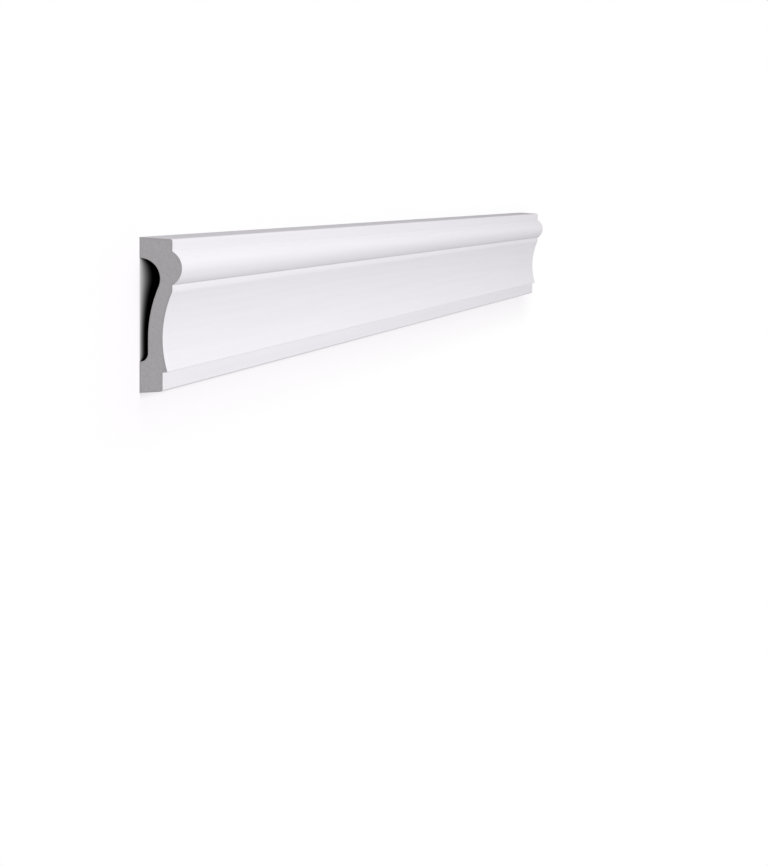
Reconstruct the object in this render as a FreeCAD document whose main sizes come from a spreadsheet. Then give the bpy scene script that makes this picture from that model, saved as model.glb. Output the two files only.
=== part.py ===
"""Panel moulding: one moulded length of wall trim with a hollowed back, lying on its back.

The section lies in the YZ plane and runs along X. Y is the height on the wall, with the moulding's
top towards +Y. Z is the depth, counted from the wall face at Z = 0. The origin is the middle of the
wall face, so the moulding lies centred on it.
"""
import FreeCAD, Part
import math
import os

import Sketcher
from FreeCAD import Vector

# Driving dimensions: name, size in millimetres (the draft in degrees), what it measures.
SIZES = [
    ("length", 2000.0, "stock length"),
    ("height", 85.0, "bottom edge to top edge, on the wall face"),
    ("lower_depth", 12.8, "wall face to lower fascia, and to the deepest line of the cove"),
    ("top_projection", 5.4, "how far the top fascia and the fillet stand out from the lower fascia"),
    ("bead_projection", 5.3, "how far the bead stands out from the top fascia"),
    ("lip_projection", 2.7, "how far the cove's lip stands out from the lower fascia"),
    ("top_fascia", 7.8, "top edge down to the bead"),
    ("bead_height", 18.3, "height of the bead, from fascia to fillet"),
    ("fillet_height", 3.5, "bead down to the cove, measured before the nose is rounded"),
    ("lip_level", 11.5, "bottom edge up to the cove's lip"),
    ("upper_land", 11.4, "upper strip of the back that is glued to the wall"),
    ("lower_land", 17.0, "lower strip of the back that is glued to the wall"),
    ("relief_wall", 8.15, "foam left between the cove and the hollow behind it"),
    ("draft", 3.5, "slope of the top and bottom edges, so that the piece leaves its mould"),
    ("edge_round", 1.2, "radius of the two outer front edges"),
    ("nose_round", 3.0, "radius where the fillet turns into the cove"),
    ("lip_round", 0.15, "radius of the cove's lip"),
]
SHEET = "sizes"
NODE = "panel_moulding"

# How a sketch counts the points of a line or an arc. Its own first axis, which starts at the origin,
# lies in the wall face.
START, END, CENTRE = range(1, 4)
ORIGIN = (-1, START)
WALL_LINE = ORIGIN[0]
SKETCH_NORMAL = Vector(0, 0, 1)

# The closed outline, in order round the section: each edge with the points where it is entered and
# left. The arcs that are followed clockwise are entered at their end.
OUTLINE = [
    ("lower_land", START, END),
    ("relief_toe", END, START),
    ("relief_floor", START, END),
    ("relief_web", START, END),
    ("relief_lobe", END, START),
    ("upper_land", START, END),
    ("top_face", START, END),
    ("top_fascia", START, END),
    ("bead", START, END),
    ("fillet", START, END),
    ("cove", END, START),
    ("lip_underside", START, END),
    ("lower_fascia", START, END),
    ("bottom_face", START, END),
]
# The hollow is one smooth curve: these edges run on into the next without a corner.
SMOOTH_JOINS = {"relief_toe", "relief_floor", "relief_web"}


def make_sheet(doc):
    """Writes the driving dimensions into the document's sheet, one row each."""
    sheet = doc.addObject("Spreadsheet::Sheet", SHEET)
    for row, (name, value, meaning) in enumerate(SIZES, start=1):
        sheet.set(f"A{row}", name)
        sheet.set(f"B{row}", str(value))
        sheet.set(f"C{row}", meaning)
        sheet.setAlias(f"B{row}", name)
    doc.recompute()
    return sheet


def front_corners(sheet):
    """Corners of the front, as (height from mid-height, depth from the wall)."""
    half = sheet.height / 2
    slope = math.tan(math.radians(sheet.draft))
    bead_top = half - sheet.top_fascia
    bead_foot = bead_top - sheet.bead_height
    cove_top = bead_foot - sheet.fillet_height
    lip = sheet.lip_level - half
    top_depth = sheet.lower_depth + sheet.top_projection
    return {
        "top_back": Vector(half, 0),
        "top_front": Vector(half - top_depth * slope, top_depth),
        "bead_top": Vector(bead_top, top_depth),
        "bead_crest": Vector((bead_top + bead_foot) / 2, top_depth + sheet.bead_projection),
        "bead_foot": Vector(bead_foot, top_depth),
        "cove_top": Vector(cove_top, top_depth),
        "cove_deepest": Vector((cove_top + lip) / 2, sheet.lower_depth),
        "lip_tip": Vector(lip, sheet.lower_depth + sheet.lip_projection),
        "lip_root": Vector(lip, sheet.lower_depth),
        "bottom_front": Vector(sheet.lower_depth * slope - half, sheet.lower_depth),
        "bottom_back": Vector(-half, 0),
    }


def draw_front(sketch, sheet):
    """Draws the visible side from the top edge down to the bottom edge and returns its edges."""
    at = front_corners(sheet)

    def line(first, second):
        return sketch.addGeometry(Part.LineSegment(at[first], at[second]))

    def arc(first, middle, last):
        return sketch.addGeometry(Part.Arc(at[first], at[middle], at[last]))

    return {
        "top_face": line("top_back", "top_front"),
        "top_fascia": line("top_front", "bead_top"),
        "bead": arc("bead_top", "bead_crest", "bead_foot"),
        "fillet": line("bead_foot", "cove_top"),
        "cove": arc("lip_tip", "cove_deepest", "cove_top"),
        "lip_underside": line("lip_tip", "lip_root"),
        "lower_fascia": line("lip_root", "bottom_front"),
        "bottom_face": line("bottom_front", "bottom_back"),
    }


def arc_about(centre, first, last):
    """Arc round a centre, anticlockwise from the first point towards the last."""

    def bearing(point):
        return math.atan2(point.y - centre.y, point.x - centre.x)

    circle = Part.Circle(centre, SKETCH_NORMAL, centre.distanceToPoint(first))
    return Part.ArcOfCircle(circle, bearing(first), bearing(last))


def draw_back(sketch, sheet, edges):
    """Draws the two glued lands and the hollow between them, and adds them to the edges.

    The hollow's web follows the cove at a constant wall. A lobe behind the bead ends it at the top
    and a quarter round ends it at the bottom, both centred on the wall face.
    """
    half = sheet.height / 2
    floor = sheet.lower_depth - sheet.relief_wall
    lobe_radius = floor + sheet.top_projection
    cove_centre = sketch.getPoint(edges["cove"], CENTRE)
    relief_foot = Vector(sheet.lower_land - half, 0)
    relief_head = Vector(half - sheet.upper_land, 0)
    toe_centre = relief_foot + Vector(floor, 0)
    lobe_centre = relief_head - Vector(lobe_radius, 0)
    towards_cove = (cove_centre - lobe_centre).normalize()
    toe_end = toe_centre + Vector(0, floor)
    web_start = Vector(cove_centre.x, floor)
    web_end = lobe_centre + towards_cove * lobe_radius
    edges["lower_land"] = sketch.addGeometry(Part.LineSegment(Vector(-half, 0), relief_foot))
    edges["relief_toe"] = sketch.addGeometry(arc_about(toe_centre, toe_end, relief_foot))
    edges["relief_floor"] = sketch.addGeometry(Part.LineSegment(toe_end, web_start))
    edges["relief_web"] = sketch.addGeometry(arc_about(cove_centre, web_start, web_end))
    edges["relief_lobe"] = sketch.addGeometry(arc_about(lobe_centre, relief_head, web_end))
    edges["upper_land"] = sketch.addGeometry(Part.LineSegment(relief_head, Vector(half, 0)))


def join_outline(sketch, edges):
    """Joins each edge of the outline to the next, and the last to the first."""
    following = OUTLINE[1:] + OUTLINE[:1]
    for (name, _, leave), (next_name, enter, _) in zip(OUTLINE, following):
        kind = "Tangent" if name in SMOOTH_JOINS else "Coincident"
        join = Sketcher.Constraint(kind, edges[name], leave, edges[next_name], enter)
        sketch.addConstraint(join)


def shape_outline(sketch, edges):
    """Sets the outline's directions, alignments and shared centres."""
    for name in ("top_fascia", "fillet", "relief_floor", "lower_fascia"):
        sketch.addConstraint(Sketcher.Constraint("Horizontal", edges[name]))
    sketch.addConstraint(Sketcher.Constraint("Vertical", edges["lip_underside"]))
    wall_points = [
        ("lower_land", END),
        ("upper_land", START),
        ("upper_land", END),
        ("relief_toe", CENTRE),
        ("relief_lobe", CENTRE),
    ]
    for name, which in wall_points:
        sketch.addConstraint(Sketcher.Constraint("PointOnObject", edges[name], which, WALL_LINE))
    bottom, top = (edges["lower_land"], START), (edges["upper_land"], END)
    sketch.addConstraint(Sketcher.Constraint("Symmetric", *bottom, *top, *ORIGIN))
    bead_ends = (edges["bead"], START, edges["bead"], END)
    sketch.addConstraint(Sketcher.Constraint("Horizontal", *bead_ends))
    # The cove's deepest line is flush with the lower fascia, and the web is concentric with the cove.
    sketch.addConstraint(Sketcher.Constraint("Tangent", edges["cove"], edges["lower_fascia"]))
    centres = (edges["cove"], CENTRE, edges["relief_web"], CENTRE)
    sketch.addConstraint(Sketcher.Constraint("Coincident", *centres))


def bind(sketch, constraint, expression):
    """Adds a measured constraint and ties it to the sheet."""
    index = sketch.addConstraint(constraint)
    sketch.setExpression(f"Constraints[{index}]", expression)


def bind_step(sketch, axis, first, second, expression):
    """Ties the step from one point to another, along X or Y of the sketch, to the sheet."""
    step = sketch.getPoint(*second) - sketch.getPoint(*first)
    length = step.x if axis == "X" else step.y
    bind(sketch, Sketcher.Constraint(f"Distance{axis}", *first, *second, length), expression)


def size_outline(sketch, sheet, edges):
    """Ties every size of the outline to the sheet."""

    def point(name, which):
        return edges[name], which

    bottom, top = point("lower_land", START), point("upper_land", END)
    top_fascia, lower_fascia = point("top_fascia", END), point("lower_fascia", START)
    heights = [
        (bottom, top, "height"),
        (bottom, point("lower_land", END), "lower_land"),
        (point("upper_land", START), top, "upper_land"),
        (top_fascia, top, "top_fascia"),
        (point("bead", END), point("bead", START), "bead_height"),
        (point("fillet", END), point("fillet", START), "fillet_height"),
        (bottom, point("lip_underside", END), "lip_level"),
    ]
    depths = [
        (ORIGIN, lower_fascia, "lower_depth"),
        (lower_fascia, top_fascia, "top_projection"),
        (lower_fascia, point("lip_underside", START), "lip_projection"),
        (point("relief_floor", START), lower_fascia, "relief_wall"),
    ]
    for first, second, name in heights:
        bind_step(sketch, "X", first, second, f"{SHEET}.{name}")
    for first, second, name in depths:
        bind_step(sketch, "Y", first, second, f"{SHEET}.{name}")
    # The bead is an arc of this chord and rise, which give its radius.
    rise, chord = f"{SHEET}.bead_projection", f"{SHEET}.bead_height"
    radius = sketch.Geometry[edges["bead"]].Radius
    bead = Sketcher.Constraint("Radius", edges["bead"], radius)
    bind(sketch, bead, f"{rise} / 2 + {chord} ^ 2 / (8 * {rise})")
    # The top face leans down and the bottom face leans up towards the front.
    lean = math.radians(sheet.draft)
    top_face = Sketcher.Constraint("Angle", edges["top_face"], math.pi / 2 + lean)
    bottom_face = Sketcher.Constraint("Angle", edges["bottom_face"], -math.pi / 2 - lean)
    bind(sketch, top_face, f"90 deg + {SHEET}.draft * 1 deg")
    bind(sketch, bottom_face, f"-90 deg - {SHEET}.draft * 1 deg")


def make_section(body, sheet):
    """The moulding's section as a sketch in the YZ plane, with the numbers of its edges."""
    plane = next(f for f in body.Origin.OriginFeatures if f.Role == "YZ_Plane")
    sketch = body.newObject("Sketcher::SketchObject", "section")
    sketch.AttachmentSupport = [(plane, "")]
    sketch.MapMode = "FlatFace"
    edges = draw_front(sketch, sheet)
    draw_back(sketch, sheet, edges)
    join_outline(sketch, edges)
    shape_outline(sketch, edges)
    size_outline(sketch, sheet, edges)
    return sketch, edges


def make_pad(body, section):
    """Runs the section along the stock length, half to each side."""
    pad = body.newObject("PartDesign::Pad", "stock")
    pad.Profile = section
    pad.SideType = "Symmetric"
    pad.setExpression("Length", f"{SHEET}.length")
    return pad


def long_edge(shape, corner):
    """Name of the edge that runs along the length through a corner of the section."""
    midway = Part.Vertex(0, corner.x, corner.y)
    gaps = [edge.distToShape(midway)[0] for edge in shape.Edges]
    return f"Edge{gaps.index(min(gaps)) + 1}"


def round_edges(body, base, corners, size):
    """Rounds the long edges at some corners of the section by one size."""
    body.Document.recompute()
    fillet = body.newObject("PartDesign::Fillet", size)
    fillet.Base = (base, [long_edge(base.Shape, corner) for corner in corners])
    fillet.setExpression("Radius", f"{SHEET}.{size}")
    return fillet


def make_moulding(doc, sheet):
    """The whole piece: the section run along its length, with its front edges rounded."""
    body = doc.addObject("PartDesign::Body", NODE)
    section, edges = make_section(body, sheet)
    pad = make_pad(body, section)
    doc.recompute()
    top_front = section.getPoint(edges["top_face"], END)
    bottom_front = section.getPoint(edges["lower_fascia"], END)
    nose = section.getPoint(edges["fillet"], END)
    lip = section.getPoint(edges["lip_underside"], START)
    outer = round_edges(body, pad, [top_front, bottom_front], "edge_round")
    nosed = round_edges(body, outer, [nose], "nose_round")
    round_edges(body, nosed, [lip], "lip_round")
    body.Label = NODE
    body.Placement = FreeCAD.Placement()
    return body


def check(doc, bodies):
    """Stops if any object of the document failed, or a finished shape isn't sound."""
    for item in doc.Objects:
        if "Invalid" in item.State or "Error" in item.State:
            raise RuntimeError(f"{item.Label} failed: {item.State}")
    for body in bodies:
        if body.Shape.isNull() or not body.Shape.isValid():
            raise RuntimeError(f"{body.Label} has no sound shape")


def main():
    """Builds the moulding and writes its file."""
    doc = FreeCAD.newDocument(NODE)
    bodies = [make_moulding(doc, make_sheet(doc))]
    doc.recompute()
    check(doc, bodies)
    os.makedirs("parts", exist_ok=True)
    for body in bodies:
        body.Shape.exportStep(f"parts/{body.Label}.step")


main()
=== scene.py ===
"""Panel moulding: a stock length of white wall trim, drawn fine and lit for the camera.

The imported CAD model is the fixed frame, in metres. The moulding lies on its wall face: X runs
along it, Y points to its top edge and Z points out of the wall. Its section is drawn from the CAD
model's sizes, with finer arcs, sanded saw edges and sawn ends. Only the bottom front edge differs,
by less than 0.2 mm: it has a bevel in place of the CAD model's round. The camera is turned on its
side, so that the floor reads as the wall.
"""

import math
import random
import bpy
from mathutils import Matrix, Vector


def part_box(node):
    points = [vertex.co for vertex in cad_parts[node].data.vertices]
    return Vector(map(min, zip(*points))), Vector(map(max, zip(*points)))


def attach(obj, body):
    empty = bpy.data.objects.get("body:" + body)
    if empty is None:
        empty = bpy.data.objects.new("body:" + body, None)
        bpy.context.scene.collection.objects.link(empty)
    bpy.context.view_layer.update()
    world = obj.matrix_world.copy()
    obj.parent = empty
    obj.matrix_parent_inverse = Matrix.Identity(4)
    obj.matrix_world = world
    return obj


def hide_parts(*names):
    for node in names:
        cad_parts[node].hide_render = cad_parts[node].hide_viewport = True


bl_info = {
    "name": "Panel moulding",
    "version": (1, 0, 0),
    "blender": (4, 5, 0),
    "location": "3D View > Sidebar > Moulding",
    "description": "Builds a length of panel moulding with a hollow back, and its stage",
    "category": "Object",
}

import bmesh
import bpy
import numpy as np
from bpy.props import FloatProperty, FloatVectorProperty, IntProperty, PointerProperty
from mathutils import Matrix, Vector
from mathutils.geometry import delaunay_2d_cdt

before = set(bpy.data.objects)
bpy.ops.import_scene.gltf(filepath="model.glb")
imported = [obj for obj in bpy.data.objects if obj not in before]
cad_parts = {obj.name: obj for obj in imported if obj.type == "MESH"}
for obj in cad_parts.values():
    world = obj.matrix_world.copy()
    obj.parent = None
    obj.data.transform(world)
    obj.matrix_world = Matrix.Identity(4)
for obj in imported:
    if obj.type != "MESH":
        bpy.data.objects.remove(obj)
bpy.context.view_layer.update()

NODE = "panel_moulding"
MM = 0.001
# Furthest that a drawn arc may leave its true circle.
ARC_SAG = 0.005 * MM
# Edges that turn by more than this stay crisp.
CRISP = math.radians(25)
# How far an open cell strays from its place on an even grid, as a share of the grid's step.
STRAY = 0.25
# Material slots of the moulding and of the floor, in order.
PRIMED, PLANED, MOULDED, SAWN = range(4)
LIT, SHADE_SHEET = range(2)

LOW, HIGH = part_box(NODE)
CAD_SIZE = (HIGH - LOW) / MM


def linear(hex_colour):
    """Turns an sRGB hex colour into the linear colour that Blender works in."""
    shares = [int(hex_colour[i : i + 2], 16) / 255 for i in (1, 3, 5)]
    return tuple(s / 12.92 if s <= 0.04045 else ((s + 0.055) / 1.055) ** 2.4 for s in shares)


def millimetres(name, meaning, size):
    """A length that the user can change, given in millimetres."""
    return FloatProperty(
        name=name,
        description=meaning,
        default=size * MM,
        min=0.0,
        precision=5,
        unit="LENGTH",
        subtype="DISTANCE",
    )


def colour(name, meaning, hex_colour):
    """A colour that the user can change, given as sRGB hex."""
    return FloatVectorProperty(
        name=name,
        description=meaning,
        default=linear(hex_colour),
        size=3,
        min=0.0,
        max=1.0,
        subtype="COLOR",
    )


class MouldingSizes(bpy.types.PropertyGroup):
    """Sizes of the section and of the stock length."""

    length: millimetres("Length", "Stock length", CAD_SIZE.x)
    height: millimetres("Height", "Bottom edge to top edge, on the wall face", CAD_SIZE.y)
    lower_depth: millimetres(
        "Lower depth", "Wall face to the lower fascia and the cove's deepest line", 12.8
    )
    top_projection: millimetres(
        "Top projection", "How far the top fascia stands out from the lower one", 5.4
    )
    bead_projection: millimetres(
        "Bead projection", "How far the bead stands out from the top fascia", 5.3
    )
    lip_projection: millimetres(
        "Lip projection", "How far the lip stands out from the lower fascia", 2.7
    )
    top_fascia: millimetres("Top fascia", "Top edge down to the bead", 7.8)
    bead_height: millimetres("Bead height", "Top fascia to fillet", 18.3)
    fillet_height: millimetres(
        "Fillet height", "Bead down to the cove, before the nose is rounded", 3.5
    )
    lip_level: millimetres("Lip level", "Bottom edge up to the cove's lip", 11.5)
    upper_land: millimetres("Upper land", "Upper strip of the back, glued to the wall", 11.4)
    lower_land: millimetres("Lower land", "Lower strip of the back, glued to the wall", 17.0)
    relief_wall: millimetres("Relief wall", "Foam between the cove and the hollow behind it", 8.15)
    edge_round: millimetres("Edge round", "Radius of the top front edge", 1.2)
    edge_bevel: millimetres(
        "Edge bevel", "Width of the bevel along the bottom front edge, on each face", 0.9
    )
    bevel_round: millimetres("Bevel round", "Radius of that bevel's two edges", 0.2)
    nose_round: millimetres("Nose round", "Radius where the fillet turns into the cove", 3.0)
    lip_round: millimetres("Lip round", "Radius of the cove's lip", 0.15)
    saw_edge: millimetres("Saw edge", "Width of the sanded edge round a sawn end", 0.08)
    ring_spacing: millimetres(
        "Ring spacing", "Distance between the mesh's rings along the length", 25.0
    )
    draft: FloatProperty(
        name="Draft",
        description="Slope of the top and bottom edges, so that the piece leaves its mould",
        default=math.radians(3.5),
        unit="ROTATION",
        subtype="ANGLE",
    )


class MouldingFinish(bpy.types.PropertyGroup):
    """Colours of the foam and its primer, and the sizes of their patterns."""

    primer: colour("Primer", "White primer on the front", "#F4F1F6")
    primer_streak: colour(
        "Primer streak", "Primer in the streaks where the spray was thinner", "#EEEBF0"
    )
    # Painted shade: these five settings darken the primer above the bead and in its corners.
    painted_shade: colour(
        "Spray shade", "Primer at its thinnest, in the corner below the bead", "#E2DFE4"
    )
    fascia_shade_share: FloatProperty(
        name="Spray share",
        description="How thin the primer is above the bead, which keeps spray from there",
        default=0.24,
        min=0.0,
        max=1.0,
        subtype="FACTOR",
    )
    corner_shade_share: FloatProperty(
        name="Corner share",
        description="How thin the primer is in the corner above the bead",
        default=0.47,
        min=0.0,
        max=1.0,
        subtype="FACTOR",
    )
    shade_reach: millimetres(
        "Spray reach", "How far the thin primer reaches out of those two corners", 1.8
    )
    fillet_shade_reach: millimetres(
        "Fillet reach", "How far it reaches down the fillet, which takes the full spray", 0.3
    )
    streak_width: millimetres("Streak width", "Width of the faint streaks along the length", 3.0)
    streak_length: millimetres("Streak length", "Length of those streaks", 260.0)
    streak_depth: millimetres("Streak depth", "Depth of those streaks", 0.01)
    peel_spacing: millimetres(
        "Peel spacing", "Distance between the dimples of the sprayed primer", 2.2
    )
    peel_depth: millimetres("Peel depth", "Depth of those dimples", 0.1)
    planed: colour("Planed foam", "Foam of the lands, planed flat", "#E5E2DB")
    planer_mark: colour("Planer mark", "Foam that the planer's knives pressed down", "#D8D4CB")
    # Painted shade darkens the open pores, which the bump also sinks.
    pore_shade: colour("Pore", "Open pores of the planed foam", "#BFBBB1")
    pore_depth: millimetres("Pore depth", "Depth of those pores", 0.06)
    planer_pitch: millimetres(
        "Planer pitch", "Distance between the planer's marks across the lands", 2.0
    )
    planer_depth: millimetres("Planer depth", "Depth of those marks", 0.03)
    skin: colour("Moulded skin", "Dense skin of the foam inside the hollow", "#E9E7E1")
    skin_flow: colour("Flow line", "Skin where two streams of foam met", "#D5D2C8")
    flow_length: millimetres("Flow length", "Length of the flow lines inside the hollow", 40.0)
    flow_width: millimetres("Flow width", "Width of those flow lines", 6.0)
    flow_depth: millimetres("Flow depth", "Depth of those flow lines", 0.15)
    bubble_spacing: millimetres(
        "Bubble spacing", "Distance between the pinholes of trapped air in the hollow", 9.0
    )
    bubble_depth: millimetres("Bubble depth", "Depth of those pinholes", 0.4)
    sawn: colour("Sawn foam", "Open cells of a sawn end", "#F2EFF1")
    # Painted shade in the middle of each open cell.
    painted_cell_shade: colour("Cell shade", "Depth of the open cells", "#E2DFE1")
    rim: colour("Sawn skin", "Dense skin at the rim of a sawn end", "#E3E0E2")
    skin_depth: millimetres("Skin depth", "How deep the dense skin reaches into the foam", 0.8)
    cell_spacing: millimetres("Cell spacing", "Distance between the foam's open cells", 0.8)
    cell_depth: millimetres("Cell depth", "Depth of the deepest cells of a sawn end", 0.08)
    pit_depth: millimetres("Pit depth", "Depth of the fine pits between those cells", 0.03)
    cell_seed: IntProperty(
        name="Cell seed", description="Seed of the open cells' places and depths", default=7
    )


class StageSettings(bpy.types.PropertyGroup):
    """Floor, lights and camera."""

    floor_reach: FloatProperty(
        name="Floor reach",
        description="Distance from the moulding's middle to the floor's sides",
        default=40.0,
        unit="LENGTH",
    )
    floor_drop: millimetres("Floor drop", "How far the floor lies below the moulding", 0.05)
    paper: colour("Paper", "Floor as the camera sees it", "#FFFFFF")
    paper_shade: colour(
        "Paper shade", "Floor as the camera sees it in the moulding's shadow", "#FFF6FF"
    )
    paper_bounce: colour("Paper bounce", "Floor as it lights the moulding", "#6C6A6D")
    # Painted shade: a dark sheet under the moulding, so that the hollow stays dark.
    shade_sheet_colour: colour("Covered paper", "Floor under the moulding", "#1C1C1C")
    paper_glow: FloatProperty(
        name="Paper glow",
        description="Share of the floor's white that doesn't darken in the moulding's shadow",
        default=0.6,
        min=0.0,
        max=1.0,
        subtype="FACTOR",
    )
    shadow_reach: millimetres(
        "Shadow reach", "How far from the moulding the floor still shows its shadow", 40.0
    )
    # Painted light: a glow on the sheet of painted shade, fading in from the hollow's open ends.
    painted_glow: FloatProperty(
        name="Leak",
        description="Light that the floor carries in under the open ends",
        default=0.63,
        min=0.0,
    )
    glow_reach: FloatProperty(
        name="Leak reach",
        description="How far that light reaches in, in heights of the hollow",
        default=3.6,
        min=0.0,
    )
    glow_fade: FloatProperty(
        name="Leak fade",
        description="How steeply that light fades on its way in",
        default=3.0,
        min=1.0,
    )
    ambient: FloatProperty(
        name="Ambient", description="Level of the light from all round", default=0.425, min=0.0
    )
    key_power: FloatProperty(
        name="Key power", description="Power of the key light", default=215.0, unit="POWER"
    )
    key_place: FloatVectorProperty(
        name="Key place",
        description="Middle of the key light",
        default=(-1.9, 1.25, 5.87),
        subtype="XYZ",
        unit="LENGTH",
    )
    key_size: FloatProperty(
        name="Key size", description="Side of the key light", default=2.2, unit="LENGTH"
    )
    fill_power: FloatProperty(
        name="Fill power", description="Power of the fill light", default=72.0, unit="POWER"
    )
    fill_place: FloatVectorProperty(
        name="Fill place",
        description="Middle of the fill light",
        default=(-2.2, 5.9, 1.04),
        subtype="XYZ",
        unit="LENGTH",
    )
    fill_size: FloatProperty(
        name="Fill size", description="Side of the fill light", default=2.2, unit="LENGTH"
    )
    viewpoint: FloatVectorProperty(
        name="Viewpoint",
        description="Place of the camera",
        default=(-3.092844, 0.071732, 0.426168),
        subtype="XYZ",
        unit="LENGTH",
    )
    view_line: FloatVectorProperty(
        name="View line",
        description="Direction in which the camera looks",
        default=(1.0, -0.06424, -0.13927),
        subtype="XYZ",
    )
    view_roll: FloatProperty(
        name="View roll",
        description="Turn of the camera about its view line, from the moulding's top edge upwards",
        default=0.003864,
        unit="ROTATION",
        subtype="ANGLE",
    )
    lens: FloatProperty(
        name="Lens",
        description="Focal length on a 36 mm sensor",
        default=162.624,
        unit="CAMERA",
    )


def arc(centre, first, last):
    """Points of the shorter arc round a centre from one point to another, both included."""
    start, end = first - centre, last - centre
    sweep = math.atan2(start.x * end.y - start.y * end.x, start.dot(end))
    step = 2 * math.acos(1 - ARC_SAG / start.length)
    count = math.ceil(abs(sweep) / step)
    return [centre + Matrix.Rotation(sweep * i / count, 2) @ start for i in range(count + 1)]


def rounded(before, corner, after, radius):
    """Points of the arc that rounds the corner between two straight edges."""
    back, ahead = (before - corner).normalized(), (after - corner).normalized()
    half_angle = back.angle(ahead) / 2
    reach = radius / math.tan(half_angle)
    centre = corner + (back + ahead).normalized() * (radius / math.sin(half_angle))
    return arc(centre, corner + back * reach, corner + ahead * reach)


def cove_circle(sizes, lip, cove_top):
    """Centre and radius of the cove, which passes through the lip and the fillet.

    At its deepest it is flush with the lower fascia. A circle that touches a line and passes
    through two points, at the heights low and high above that line and the given width apart,
    touches the line at the distance worked out here from the lower point.
    """
    low, high, width = sizes.lip_projection, sizes.top_projection, cove_top - lip
    root = math.sqrt(low * high * (width**2 + (high - low) ** 2))
    reach = low * (width**2 + high * (high - low)) / (low * width + root)
    radius = (reach**2 + low**2) / (2 * low)
    return Vector((lip + reach, sizes.lower_depth + radius)), radius


def front_outline(sizes):
    """The section's visible side in three runs, downwards: above the bead, on it and below it."""
    half, slope = sizes.height / 2, math.tan(sizes.draft)
    depth, top = sizes.lower_depth, sizes.lower_depth + sizes.top_projection
    bead_top = half - sizes.top_fascia
    bead_foot = bead_top - sizes.bead_height
    lip = sizes.lip_level - half
    cove, cove_radius = cove_circle(sizes, lip, bead_foot - sizes.fillet_height)

    top_back, bottom_back = Vector((half, 0)), Vector((-half, 0))
    top_front = Vector((half - top * slope, top))
    bottom_front = Vector((depth * slope - half, depth))
    bead_start, bead_end = Vector((bead_top, top)), Vector((bead_foot, top))
    rise, chord = sizes.bead_projection, sizes.bead_height
    crest = Vector(((bead_top + bead_foot) / 2, top + rise))
    bead = crest - Vector((0, rise / 2 + chord**2 / (8 * rise)))
    lip_root = Vector((lip, depth))
    bevel_front = bottom_front + (lip_root - bottom_front).normalized() * sizes.edge_bevel
    bevel_back = bottom_front + (bottom_back - bottom_front).normalized() * sizes.edge_bevel

    # The nose touches the fillet and the cove, and the lip's round the cove and its underside.
    nose_depth = top - sizes.nose_round
    nose_reach = math.sqrt((cove_radius + sizes.nose_round) ** 2 - (cove.y - nose_depth) ** 2)
    nose = Vector((cove.x + nose_reach, nose_depth))
    tip_level = lip + sizes.lip_round
    tip_drop = math.sqrt((cove_radius + sizes.lip_round) ** 2 - (tip_level - cove.x) ** 2)
    tip = Vector((tip_level, cove.y - tip_drop))
    cove_start = cove + (nose - cove).normalized() * cove_radius
    cove_end = cove + (tip - cove).normalized() * cove_radius

    above_bead = [top_back, *rounded(top_back, top_front, bead_start, sizes.edge_round)]
    bead_arc = [*arc(bead, bead_start, crest), *arc(bead, crest, bead_end)[1:]]
    below_bead = [
        *arc(nose, Vector((nose.x, top)), cove_start),
        *arc(cove, cove_start, cove_end)[1:],
        *arc(tip, cove_end, Vector((lip, tip.y)))[1:],
        lip_root,
        *rounded(lip_root, bevel_front, bevel_back, sizes.bevel_round),
        *rounded(bevel_front, bevel_back, bottom_back, sizes.bevel_round),
        bottom_back,
    ]
    return above_bead, bead_arc, below_bead


def hollow_outline(sizes):
    """The hollow of the back, from the lower land up to the upper one: toe, floor, web, lobe."""
    half = sizes.height / 2
    bead_foot = half - sizes.top_fascia - sizes.bead_height
    cove, cove_radius = cove_circle(sizes, sizes.lip_level - half, bead_foot - sizes.fillet_height)
    floor = sizes.lower_depth - sizes.relief_wall
    foot, head = Vector((sizes.lower_land - half, 0)), Vector((half - sizes.upper_land, 0))
    toe = foot + Vector((floor, 0))
    # The lobe ends on the upper land and touches the web, which follows the cove.
    web_radius, span = cove_radius + sizes.relief_wall, head.x - cove.x
    lobe_radius = (cove.y**2 + span**2 - web_radius**2) / (2 * (span + web_radius))
    lobe = head - Vector((lobe_radius, 0))
    web_start = Vector((cove.x, floor))
    web_end = lobe + (cove - lobe).normalized() * lobe_radius
    return [
        *arc(toe, foot, toe + Vector((0, floor))),
        *arc(cove, web_start, web_end),
        *arc(lobe, web_end, head)[1:],
    ]


def nearness(point, corner, reach):
    """1 at a corner, fading to 0 at the reach from it."""
    return max(0.0, 1 - (point - corner).length / reach)


def section(sizes, finish):
    """Points round the whole section, anticlockwise, and two lists that go with them.

    These are the material of the edge that leaves each point, and the share of painted shade there.
    """
    hollow = hollow_outline(sizes)
    above_bead, bead, below_bead = front_outline(sizes)
    top_corner, low_corner, reach = bead[0], bead[-1], finish.shade_reach
    # Beyond these two points, on the top fascia and on the fillet, the painted shade is even.
    above_bead.append(top_corner + Vector((reach, 0)))
    below_bead.insert(0, low_corner - Vector((finish.fillet_shade_reach, 0)))
    front = [*above_bead, *bead, *below_bead]
    materials = [MOULDED] * (len(hollow) - 1) + [PLANED] + [PRIMED] * (len(front) - 1) + [PLANED]
    # Painted shade: darkest in the bead's two inner corners, fading over the reach, even above the
    # bead.
    top_shade = [finish.corner_shade_share * nearness(point, top_corner, reach) for point in bead]
    low_shade = [nearness(point, low_corner, reach) for point in bead]
    bead_shade = [max(pair) for pair in zip(top_shade, low_shade)]
    above_shade = [finish.fascia_shade_share] * len(above_bead)
    shade_share = [0.0] * len(hollow) + above_shade + bead_shade + [0.0] * len(below_bead)
    return [*hollow, *front], materials, shade_share


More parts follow.
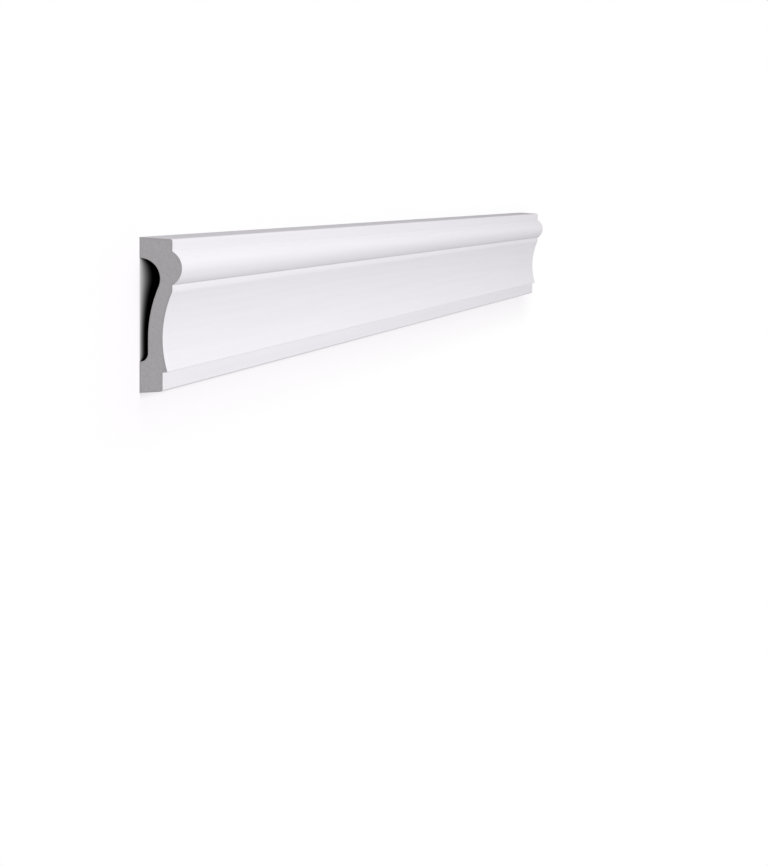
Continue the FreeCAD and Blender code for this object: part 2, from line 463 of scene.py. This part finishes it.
def directions(points):
    """Directions in which a closed outline reaches and leaves each of its points."""
    for i, point in enumerate(points):
        following = points[(i + 1) % len(points)]
        yield (point - points[i - 1]).normalized(), (following - point).normalized()


def inset(points, width):
    """The same outline, moved inwards by a width."""
    moved = []
    for point, (before, after) in zip(points, directions(points)):
        out_before, out_after = Vector((before.y, -before.x)), Vector((after.y, -after.x))
        moved.append(point - (out_before + out_after) * (width / (1 + out_before.dot(out_after))))
    return moved


def gap_to_outline(places, outline):
    """Distance of each place from a closed outline, below zero outside it."""
    starts = np.array(outline)
    ends = np.roll(starts, -1, axis=0)
    runs = ends - starts
    towards = places[:, None, :] - starts
    share = np.clip((towards * runs).sum(2) / (runs * runs).sum(1), 0, 1)
    gaps = np.linalg.norm(towards - share[:, :, None] * runs, axis=2).min(1)
    # A place is inside if a line from it towards +Y crosses the outline an odd number of times.
    level = places[:, None, 1]
    straddles = (starts[:, 1] > level) != (ends[:, 1] > level)
    with np.errstate(divide="ignore", invalid="ignore"):
        crossing = starts[:, 0] + (level - starts[:, 1]) * runs[:, 0] / runs[:, 1]
    inside = (straddles & (crossing > places[:, None, 0])).sum(1) % 2 == 1
    return np.where(inside, gaps, -gaps)


def cell_places(outline, finish):
    """Places of the open cells in a sawn end, and their distance from its rim."""
    chance = random.Random(finish.cell_seed)
    step, row_step = finish.cell_spacing, finish.cell_spacing * math.sqrt(3) / 2
    low, high = np.min(outline, axis=0), np.max(outline, axis=0)
    rows = math.ceil((high[1] - low[1]) / row_step)
    columns = math.ceil((high[0] - low[0]) / step)
    grid = []
    for row in range(rows):
        for column in range(columns):
            shift = [chance.uniform(-STRAY, STRAY) * step for _ in range(2)]
            along = (column + row % 2 / 2) * step
            grid.append((low[0] + along + shift[0], low[1] + row * row_step + shift[1]))
    places = np.array(grid)
    gaps = gap_to_outline(places, outline)
    kept = gaps > step / 2
    return places[kept], gaps[kept]


def saw_end(mesh, rim, x, inwards, finish, skin):
    """Closes one end with sawn foam: a dense rim, and open cells that dip into the foam."""
    chance = random.Random(finish.cell_seed + 1)
    outline = [Vector((vert.co.y, vert.co.z)) for vert in rim]
    places, gaps = cell_places(outline, finish)
    verts = list(rim)
    for (y, z), gap in zip(places, gaps):
        density = max(0.0, 1 - gap / finish.skin_depth)
        # Most cells are cut shallow, and few of them deep.
        dip = finish.cell_depth * chance.random() ** 3 * (1 - density)
        vert = mesh.verts.new((x + inwards * dip, y, z))
        vert[skin] = density
        verts.append(vert)
    corners = outline + [Vector(place) for place in places]
    ring = list(range(len(rim)))
    # The fill keeps to the inside of the rim, and only points closer than this merge.
    inside_only, merge_gap = 1, 1e-9
    _, _, triangles, sources, _, _ = delaunay_2d_cdt(
        corners, [], [ring], inside_only, merge_gap
    )
    for triangle in triangles:
        loop = [verts[sources[i][0]] for i in triangle]
        face = mesh.faces.new(loop if inwards < 0 else loop[::-1])
        face.material_index = SAWN


def moulding_mesh(sizes, finish):
    """The whole length as one closed mesh: rings of the section, and a sawn end at each side."""
    points, materials, shade_share = section(sizes, finish)
    half = sizes.length / 2
    run = half - sizes.saw_edge
    count = max(1, round(2 * run / sizes.ring_spacing))
    between = [(-run + 2 * run * i / count, points) for i in range(count + 1)]
    sawn = inset(points, sizes.saw_edge)
    rings = [(-half, sawn), *between, (half, sawn)]

    mesh = bmesh.new()
    skin = mesh.verts.layers.float.new("skin")
    # Share of painted shade on the primer, at each point.
    shade_amount = mesh.verts.layers.float.new("shade_share")
    loops = [[mesh.verts.new((x, y, z)) for y, z in outline] for x, outline in rings]
    for loop in loops:
        for vert, shade_level in zip(loop, shade_share):
            vert[shade_amount] = shade_level
    for rim in (loops[0], loops[-1]):
        for vert in rim:
            vert[skin] = 1.0
    for near, far in zip(loops, loops[1:]):
        for i, material in enumerate(materials):
            j = (i + 1) % len(points)
            face = mesh.faces.new((near[i], near[j], far[j], far[i]))
            face.material_index = material
    saw_end(mesh, loops[0], -half, 1, finish, skin)
    saw_end(mesh, loops[-1], half, -1, finish, skin)
    for face in mesh.faces:
        face.smooth = True
    data = bpy.data.meshes.new("moulding")
    mesh.to_mesh(data)
    mesh.free()
    data.set_sharp_from_angle(angle=CRISP)
    return data


def add_node(tree, kind, inputs=None, **settings):
    """Adds a node with its settings, and gives each input a value or another node's output."""
    node = tree.nodes.new(kind)
    for name, value in settings.items():
        setattr(node, name, value)
    for socket, source in (inputs or {}).items():
        if isinstance(source, bpy.types.NodeSocket):
            tree.links.new(source, node.inputs[socket])
        else:
            node.inputs[socket].default_value = source
    return node


def empty_tree(owner):
    """Node tree of a material or world, cleared."""
    owner.use_nodes = True
    owner.node_tree.nodes.clear()
    return owner.node_tree


def opaque(rgb):
    """A colour with the alpha that colour sockets ask for."""
    return (*rgb, 1.0)


def calculate(tree, operation, *values):
    """Output of one step of maths on numbers or other outputs."""
    inputs = dict(enumerate(values))
    return add_node(tree, "ShaderNodeMath", inputs, operation=operation).outputs[0]


def calculate_vector(tree, operation, *values):
    """Output of one step of maths on vectors or other outputs."""
    inputs = dict(enumerate(values))
    return add_node(tree, "ShaderNodeVectorMath", inputs, operation=operation).outputs["Vector"]


def blend(tree, share, first, second):
    """Output of a colour that goes from the first to the second as the share goes from 0 to 1."""
    inputs = {"Factor": share, "A": first, "B": second}
    return add_node(tree, "ShaderNodeMix", inputs, data_type="RGBA").outputs["Result"]


def relief(tree, height, depth, ground=None):
    """Output of a surface's normal, where the height from 0 to 1 raises the ground by the depth."""
    inputs = {"Height": height, "Strength": 1.0, "Distance": depth}
    if ground is not None:
        inputs["Normal"] = ground
    return add_node(tree, "ShaderNodeBump", inputs).outputs["Normal"]


def set_surface(tree, inputs):
    """Gives a material a principled surface with these inputs."""
    surface = add_node(tree, "ShaderNodeBsdfPrincipled", inputs)
    add_node(tree, "ShaderNodeOutputMaterial", {"Surface": surface.outputs["BSDF"]})


def primed_polyurethane(finish):
    """White acrylic primer, sprayed in the factory on foam that came smooth from its mould.

    To the eye: an even, slightly cool matte white. Close up it has a fine orange peel, and faint
    streaks along the length where the spray bar passed, in tone, gloss and height. Above the bead
    and in the corners at its two sides it is darker with painted shade.
    """
    material = bpy.data.materials.new("primed_polyurethane")
    tree = empty_tree(material)
    place = add_node(tree, "ShaderNodeTexCoord").outputs["Object"]
    stretch = (1 / finish.streak_length, 1 / finish.streak_width, 1 / finish.streak_width)
    along = add_node(tree, "ShaderNodeMapping", {"Vector": place, "Scale": stretch})
    streaks = add_node(
        tree,
        "ShaderNodeTexNoise",
        {"Vector": along.outputs["Vector"], "Scale": 1.0, "Detail": 3.0},
    ).outputs["Fac"]
    # Each octave of the dimples is half as wide as the last, down to the dried primer's tooth.
    peel = add_node(
        tree,
        "ShaderNodeTexNoise",
        {"Vector": place, "Scale": 1 / finish.peel_spacing, "Detail": 4.0, "Roughness": 0.7},
    ).outputs["Fac"]
    tone = blend(tree, streaks, opaque(finish.primer), opaque(finish.primer_streak))
    # Painted shade: the primer darkens above the bead and in the bead's two inner corners.
    shade_amount = add_node(tree, "ShaderNodeAttribute", attribute_name="shade_share").outputs["Fac"]
    shaded_coat = blend(tree, shade_amount, tone, opaque(finish.painted_shade))
    gloss = add_node(
        tree, "ShaderNodeMapRange", {"Value": streaks, "To Min": 0.76, "To Max": 0.86}
    ).outputs["Result"]
    flow = relief(tree, streaks, finish.streak_depth)
    dimples = relief(tree, peel, finish.peel_depth, flow)
    # The primer's coarse pigment breaks up most of the shine.
    shine = {"Roughness": gloss, "IOR": 1.48, "Specular IOR Level": 0.1}
    set_surface(tree, {"Base Color": shaded_coat, "Normal": dimples, **shine})
    return material


def planed_polyurethane(finish):
    """Rigid foam, planed flat on the lands.

    To the eye: a dull off-white with open pores, and the planer's marks across it.
    """
    material = bpy.data.materials.new("planed_polyurethane")
    tree = empty_tree(material)
    place = add_node(tree, "ShaderNodeTexCoord").outputs["Object"]
    pores = add_node(
        tree, "ShaderNodeTexVoronoi", {"Vector": place, "Scale": 1 / finish.cell_spacing}
    ).outputs["Distance"]
    # One wave of Blender's bands takes this many units of texture space at scale 1.
    band = math.pi / 10
    marks = add_node(
        tree,
        "ShaderNodeTexWave",
        {"Vector": place, "Scale": band / finish.planer_pitch, "Distortion": 0.6, "Detail": 1.0},
        bands_direction="X",
    ).outputs["Fac"]
    ripples = blend(tree, marks, opaque(finish.planed), opaque(finish.planer_mark))
    # Painted shade: pores are open and dark near their middle, closed from a third of the spacing
    # on.
    closed = add_node(
        tree, "ShaderNodeMapRange", {"Value": pores, "From Min": 0.08, "From Max": 0.3}
    ).outputs["Result"]
    tone = blend(tree, closed, opaque(finish.pore_shade), ripples)
    ripple = relief(tree, marks, finish.planer_depth)
    pitted = relief(tree, closed, finish.pore_depth, ripple)
    set_surface(tree, {"Base Color": tone, "Normal": pitted, "Roughness": 0.85, "IOR": 1.5})
    return material


def moulded_polyurethane(finish):
    """Rigid foam as it left the mould, inside the hollow: a closed, slightly waxy skin.

    To the eye: off-white, with soft flow lines where the rising foam's streams met, and pinholes
    where air was trapped.
    """
    material = bpy.data.materials.new("moulded_polyurethane")
    tree = empty_tree(material)
    place = add_node(tree, "ShaderNodeTexCoord").outputs["Object"]
    stretch = (1 / finish.flow_length, 1 / finish.flow_width, 1 / finish.flow_width)
    along = add_node(tree, "ShaderNodeMapping", {"Vector": place, "Scale": stretch})
    swirls = add_node(
        tree,
        "ShaderNodeTexNoise",
        {"Vector": along.outputs["Vector"], "Scale": 1.0, "Detail": 4.0, "Distortion": 1.2},
    ).outputs["Fac"]
    tone = blend(tree, swirls, opaque(finish.skin_flow), opaque(finish.skin))
    flow = relief(tree, swirls, finish.flow_depth)
    air = add_node(
        tree, "ShaderNodeTexVoronoi", {"Vector": place, "Scale": 1 / finish.bubble_spacing}
    ).outputs["Distance"]
    # This share of the spacing, to each side, makes the pinholes about a millimetre wide.
    whole = add_node(tree, "ShaderNodeMapRange", {"Value": air, "From Max": 0.07})
    pinholes = relief(tree, whole.outputs["Result"], finish.bubble_depth, flow)
    set_surface(tree, {"Base Color": tone, "Normal": pinholes, "Roughness": 0.6, "IOR": 1.5})
    return material


def sawn_polyurethane(finish):
    """Rigid foam, cut with a fine saw.

    To the eye: dull white with open cells, and a denser, darker rim where the skin is cut. The
    cells of such foam are 0.2 to 0.4 mm wide. They are drawn wider, so that they show.
    """
    material = bpy.data.materials.new("sawn_polyurethane")
    tree = empty_tree(material)
    place = add_node(tree, "ShaderNodeTexCoord").outputs["Object"]
    cells = add_node(
        tree, "ShaderNodeTexVoronoi", {"Vector": place, "Scale": 1 / finish.cell_spacing}
    ).outputs["Distance"]
    rim = add_node(tree, "ShaderNodeAttribute", attribute_name="skin").outputs["Fac"]
    # Painted shade: a cell is darker in its middle and pale at its walls, half the spacing away.
    walls = add_node(
        tree, "ShaderNodeMapRange", {"Value": cells, "From Max": 0.5, "To Min": 0.25}
    ).outputs["Result"]
    foam = blend(tree, walls, opaque(finish.painted_cell_shade), opaque(finish.sawn))
    tone = blend(tree, rim, foam, opaque(finish.rim))
    pits = relief(tree, cells, finish.pit_depth)
    set_surface(tree, {"Base Color": tone, "Normal": pits, "Roughness": 0.9, "IOR": 1.5})
    return material


# What makes each of the moulding's materials, in the order of its slots.
FINISHES = (primed_polyurethane, planed_polyurethane, moulded_polyurethane, sawn_polyurethane)


def seen_rays(tree):
    """Output that is 1 for rays that show the stage: from the camera, off gloss, through glass."""
    path = add_node(tree, "ShaderNodeLightPath").outputs
    gloss = calculate(tree, "MAXIMUM", path["Is Camera Ray"], path["Is Glossy Ray"])
    return calculate(tree, "MAXIMUM", gloss, path["Is Transmission Ray"])


def lit_paper(sizes, stage):
    """White paper floor.

    To the eye: a plain white that keeps a faint shadow. To the moulding: a softer bounce.
    """
    material = bpy.data.materials.new("lit_paper")
    tree = empty_tree(material)
    seen = seen_rays(tree)
    shade = blend(tree, seen, opaque(stage.paper_bounce), opaque(stage.paper_shade))
    matte = add_node(tree, "ShaderNodeBsdfDiffuse", {"Color": shade})
    glow = add_node(tree, "ShaderNodeEmission", {"Color": opaque(stage.paper), "Strength": 1.0})
    # Away from the moulding no shadow falls, and the paper is white throughout. The light comes
    # from the side of the top edge, so the shaded strip starts under the moulding, this far from
    # that edge, and ends past the bottom edge.
    lit_side = 0.3 * sizes.height
    place = add_node(tree, "ShaderNodeNewGeometry").outputs["Position"]
    moved = calculate_vector(tree, "ADD", place, (0, lit_side / 2, 0))
    side = calculate_vector(tree, "ABSOLUTE", moved)
    footprint = (sizes.length / 2, (sizes.height - lit_side) / 2, 1.0)
    beyond = calculate_vector(tree, "SUBTRACT", side, footprint)
    outside = calculate_vector(tree, "MAXIMUM", beyond, (0, 0, 0))
    # Past the two ends the paper turns white at this share of the pace beside the moulding.
    end_pace = 0.25
    eased = calculate_vector(tree, "MULTIPLY", outside, (end_pace, 1, 0))
    away = add_node(tree, "ShaderNodeVectorMath", {0: eased}, operation="LENGTH").outputs["Value"]
    level = add_node(
        tree,
        "ShaderNodeMapRange",
        {"Value": away, "From Max": stage.shadow_reach, "To Min": stage.paper_glow},
        interpolation_type="SMOOTHSTEP",
    ).outputs["Result"]
    share = calculate(tree, "MULTIPLY", seen, level)
    surface = add_node(
        tree,
        "ShaderNodeMixShader",
        {0: share, 1: matte.outputs["BSDF"], 2: glow.outputs["Emission"]},
    )
    add_node(tree, "ShaderNodeOutputMaterial", {"Surface": surface.outputs["Shader"]})
    material.cycles.emission_sampling = "NONE"
    return material


def painted_shade_sheet(sizes, stage):
    """A dark sheet of painted shade under the moulding.

    To the eye: dark, but for painted light that fades in from the hollow's open ends.
    """
    material = bpy.data.materials.new("painted_shade_sheet")
    tree = empty_tree(material)
    seen = seen_rays(tree)
    place = add_node(tree, "ShaderNodeNewGeometry").outputs["Position"]
    along = add_node(tree, "ShaderNodeSeparateXYZ", {"Vector": place}).outputs["X"]
    inside = calculate(tree, "SUBTRACT", sizes.length / 2, calculate(tree, "ABSOLUTE", along))
    # Painted light: the glow fades from each open end inwards, over a reach in heights of the
    # hollow.
    headroom = add_node(tree, "ShaderNodeAttribute", attribute_name="headroom").outputs["Fac"]
    reach = calculate(tree, "MULTIPLY", headroom, stage.glow_reach)
    painted_glow = add_node(
        tree, "ShaderNodeMapRange", {"Value": inside, "From Min": reach, "From Max": 0.0}
    ).outputs["Result"]
    fading = calculate(tree, "POWER", painted_glow, stage.glow_fade)
    level = calculate(tree, "MULTIPLY", seen, fading)
    tint = [channel * stage.painted_glow for channel in stage.paper]
    glow = add_node(tree, "ShaderNodeEmission", {"Color": opaque(tint), "Strength": level})
    matte = add_node(tree, "ShaderNodeBsdfDiffuse", {"Color": opaque(stage.shade_sheet_colour)})
    surface = add_node(
        tree, "ShaderNodeAddShader", {0: matte.outputs["BSDF"], 1: glow.outputs["Emission"]}
    )
    add_node(tree, "ShaderNodeOutputMaterial", {"Surface": surface.outputs["Shader"]})
    material.cycles.emission_sampling = "NONE"
    return material


def make_floor(sizes, stage):
    """Paper floor a hair below the moulding, with a sheet of painted shade under its footprint."""
    reach, half = stage.floor_reach, sizes.height / 2
    xs = [-reach, -sizes.length / 2, sizes.length / 2, reach]
    # Places across the floor, each with the height of the hollow above it.
    across = [(-reach, 0.0), (-half, 0.0), *hollow_outline(sizes), (half, 0.0), (reach, 0.0)]
    mesh = bmesh.new()
    headroom = mesh.verts.layers.float.new("headroom")
    grid = [[mesh.verts.new((x, y, -stage.floor_drop)) for y, _ in across] for x in xs]
    for row in grid:
        for vert, (_, height) in zip(row, across):
            vert[headroom] = height
    for i in range(len(xs) - 1):
        for j in range(len(across) - 1):
            near, far = grid[i], grid[i + 1]
            face = mesh.faces.new((near[j], far[j], far[j + 1], near[j + 1]))
            # Under the footprint lies the sheet of painted shade.
            under = i == 1 and 0 < j < len(across) - 2
            face.material_index = SHADE_SHEET if under else LIT
    data = bpy.data.meshes.new("floor")
    mesh.to_mesh(data)
    mesh.free()
    data.materials.append(lit_paper(sizes, stage))
    data.materials.append(painted_shade_sheet(sizes, stage))
    floor = bpy.data.objects.new("floor", data)
    bpy.context.scene.collection.objects.link(floor)


def make_world(stage):
    """Even light from all round, which the camera and glossy surfaces see as white."""
    world = bpy.data.worlds.new("studio")
    tree = empty_tree(world)
    level = add_node(
        tree,
        "ShaderNodeMapRange",
        {"Value": seen_rays(tree), "To Min": stage.ambient, "To Max": 1.0},
    )
    white = opaque((1.0, 1.0, 1.0))
    light = add_node(
        tree, "ShaderNodeBackground", {"Color": white, "Strength": level.outputs["Result"]}
    )
    add_node(tree, "ShaderNodeOutputWorld", {"Surface": light.outputs["Background"]})
    bpy.context.scene.world = world


def make_lamp(name, place, power, size):
    """Soft square lamp that faces straight across to the moulding's long axis."""
    lamp = bpy.data.lights.new(name, "AREA")
    lamp.size = size
    lamp.energy = power
    stand = bpy.data.objects.new(name, lamp)
    stand.location = place
    stand.rotation_mode = "QUATERNION"
    stand.rotation_quaternion = Vector((0, -place[1], -place[2])).to_track_quat("-Z", "Y")
    stand.visible_camera = False
    bpy.context.scene.collection.objects.link(stand)


def make_camera(stage):
    """Camera past the near end, on its side so that the moulding's top edge is up."""
    ahead = Vector(stage.view_line).normalized()
    right = ahead.cross(Vector((0, 1, 0))).normalized()
    level = Matrix((right, right.cross(ahead), -ahead)).transposed()
    axes = level @ Matrix.Rotation(stage.view_roll, 3, "Z")
    lens = bpy.data.cameras.new("camera")
    lens.sensor_width = 36.0
    lens.lens = stage.lens
    # The whole floor stays in sight.
    lens.clip_end = 5 * stage.floor_reach
    camera = bpy.data.objects.new("camera", lens)
    camera.matrix_world = Matrix.Translation(stage.viewpoint) @ axes.to_4x4()
    bpy.context.scene.collection.objects.link(camera)
    bpy.context.scene.camera = camera


class MOULDING_OT_length(bpy.types.Operator):
    """Builds the length of moulding in place of the CAD model's plain one"""

    bl_idname = "moulding.length"
    bl_label = "Build the moulding"

    def execute(self, context):
        sizes, finish = context.scene.moulding_sizes, context.scene.moulding_finish
        data = moulding_mesh(sizes, finish)
        for make in FINISHES:
            data.materials.append(make(finish))
        piece = bpy.data.objects.new("moulding_length", data)
        context.scene.collection.objects.link(piece)
        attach(piece, "root")
        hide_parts(NODE)
        return {"FINISHED"}


class MOULDING_OT_stage(bpy.types.Operator):
    """Sets up the paper floor, the lights and the camera"""

    bl_idname = "moulding.stage"
    bl_label = "Set the stage"

    def execute(self, context):
        stage = context.scene.moulding_stage
        make_floor(context.scene.moulding_sizes, stage)
        make_world(stage)
        make_lamp("key", stage.key_place, stage.key_power, stage.key_size)
        make_lamp("fill", stage.fill_place, stage.fill_power, stage.fill_size)
        make_camera(stage)
        context.scene.view_settings.view_transform = "Standard"
        return {"FINISHED"}


class MOULDING_PT_panel(bpy.types.Panel):
    """Lists the moulding's steps and settings in the sidebar"""

    bl_idname = "MOULDING_PT_panel"
    bl_label = "Panel moulding"
    bl_space_type = "VIEW_3D"
    bl_region_type = "UI"
    bl_category = "Moulding"

    def draw(self, context):
        for operator, settings in (
            (None, context.scene.moulding_sizes),
            (MOULDING_OT_length, context.scene.moulding_finish),
            (MOULDING_OT_stage, context.scene.moulding_stage),
        ):
            box = self.layout.box()
            for name in settings.bl_rna.properties.keys():
                if name not in ("rna_type", "name"):
                    box.prop(settings, name)
            if operator:
                box.operator(operator.bl_idname)


CLASSES = (
    MouldingSizes,
    MouldingFinish,
    StageSettings,
    MOULDING_OT_length,
    MOULDING_OT_stage,
    MOULDING_PT_panel,
)


def register():
    """Registers the classes and hangs the settings on the scene."""
    for cls in CLASSES:
        bpy.utils.register_class(cls)
    bpy.types.Scene.moulding_sizes = PointerProperty(type=MouldingSizes)
    bpy.types.Scene.moulding_finish = PointerProperty(type=MouldingFinish)
    bpy.types.Scene.moulding_stage = PointerProperty(type=StageSettings)


def unregister():
    """Takes the settings off the scene and unregisters the classes."""
    del bpy.types.Scene.moulding_stage
    del bpy.types.Scene.moulding_finish
    del bpy.types.Scene.moulding_sizes
    for cls in reversed(CLASSES):
        bpy.utils.unregister_class(cls)


def main():
    """Builds the moulding and its stage."""
    register()
    bpy.ops.moulding.length()
    bpy.ops.moulding.stage()


if __name__ == "__main__":
    main()
